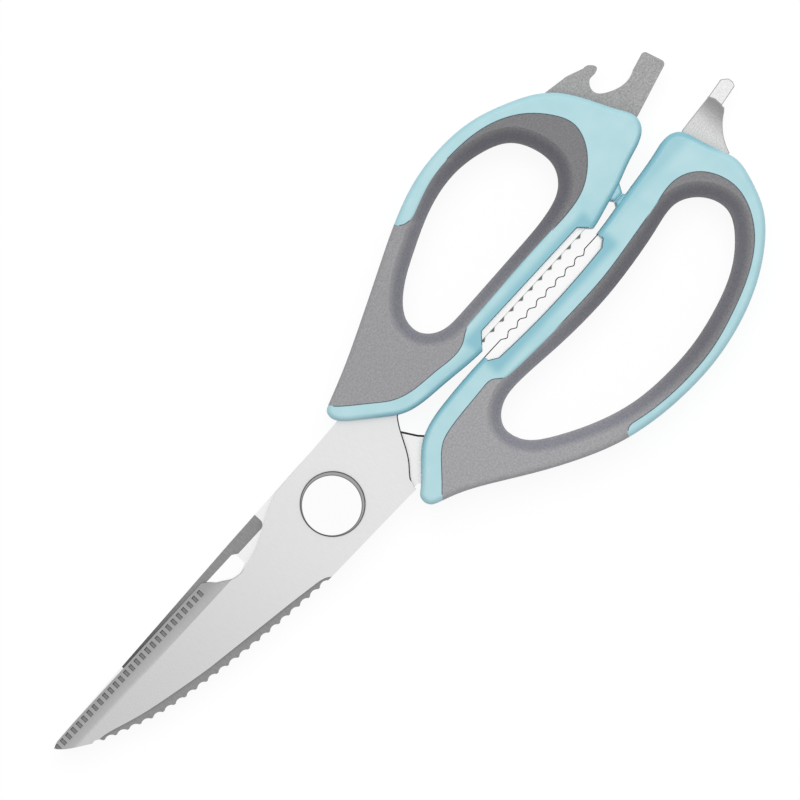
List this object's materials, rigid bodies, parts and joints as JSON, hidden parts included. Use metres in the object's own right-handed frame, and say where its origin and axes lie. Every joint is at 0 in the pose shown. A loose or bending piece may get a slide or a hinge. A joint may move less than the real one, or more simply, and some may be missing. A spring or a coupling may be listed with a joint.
{
  "type": "kitchen shears",
  "caption": "Kitchen shears with unequal finger loops, toothed nutcracker jaws between the handles, a bottle opener hook and a screwdriver tip.",
  "frame": {"origin": "on the pivot axis, at the back face of the pivot nut, which lies flush with the backs of the handles", "axes": "+X from the pivot to the blade tips, +Y towards the big finger loop, +Z out of the front face with the domed pivot head"},
  "size_m": [0.2365, 0.0863, 0.013],
  "materials": {
    "blade_steel": "fine brushed stainless steel",
    "handle_plastic": "light blue hard plastic, satin to gloss",
    "soft_grip": "grey soft elastomer, matte with a fine grain",
    "jaw_steel": "bright polished steel",
    "tool_steel": "blasted stainless steel, fine grain",
    "polished_steel": "polished stainless steel"
  },
  "bodies": {
    "rear_half": {"rear_blade": "blade_steel", "rear_handle_core": "handle_plastic", "rear_soft_grip": "soft_grip", "rear_jaw": "jaw_steel", "screwdriver_tip": "tool_steel", "pivot_bolt": "polished_steel", "pivot_washer": "polished_steel", "pivot_nut": "polished_steel"},
    "front_half": {"front_blade": "blade_steel", "front_handle_core": "handle_plastic", "front_soft_grip": "soft_grip", "front_jaw": "jaw_steel", "bottle_opener": "tool_steel"}
  },
  "joints": [
    {"name": "pivot", "type": "hinge", "parent": "rear_half", "child": "front_half", "pos_m": [0, 0, 0], "axis": [0, 0, 1], "range_deg": [0, 80]}
  ]
}
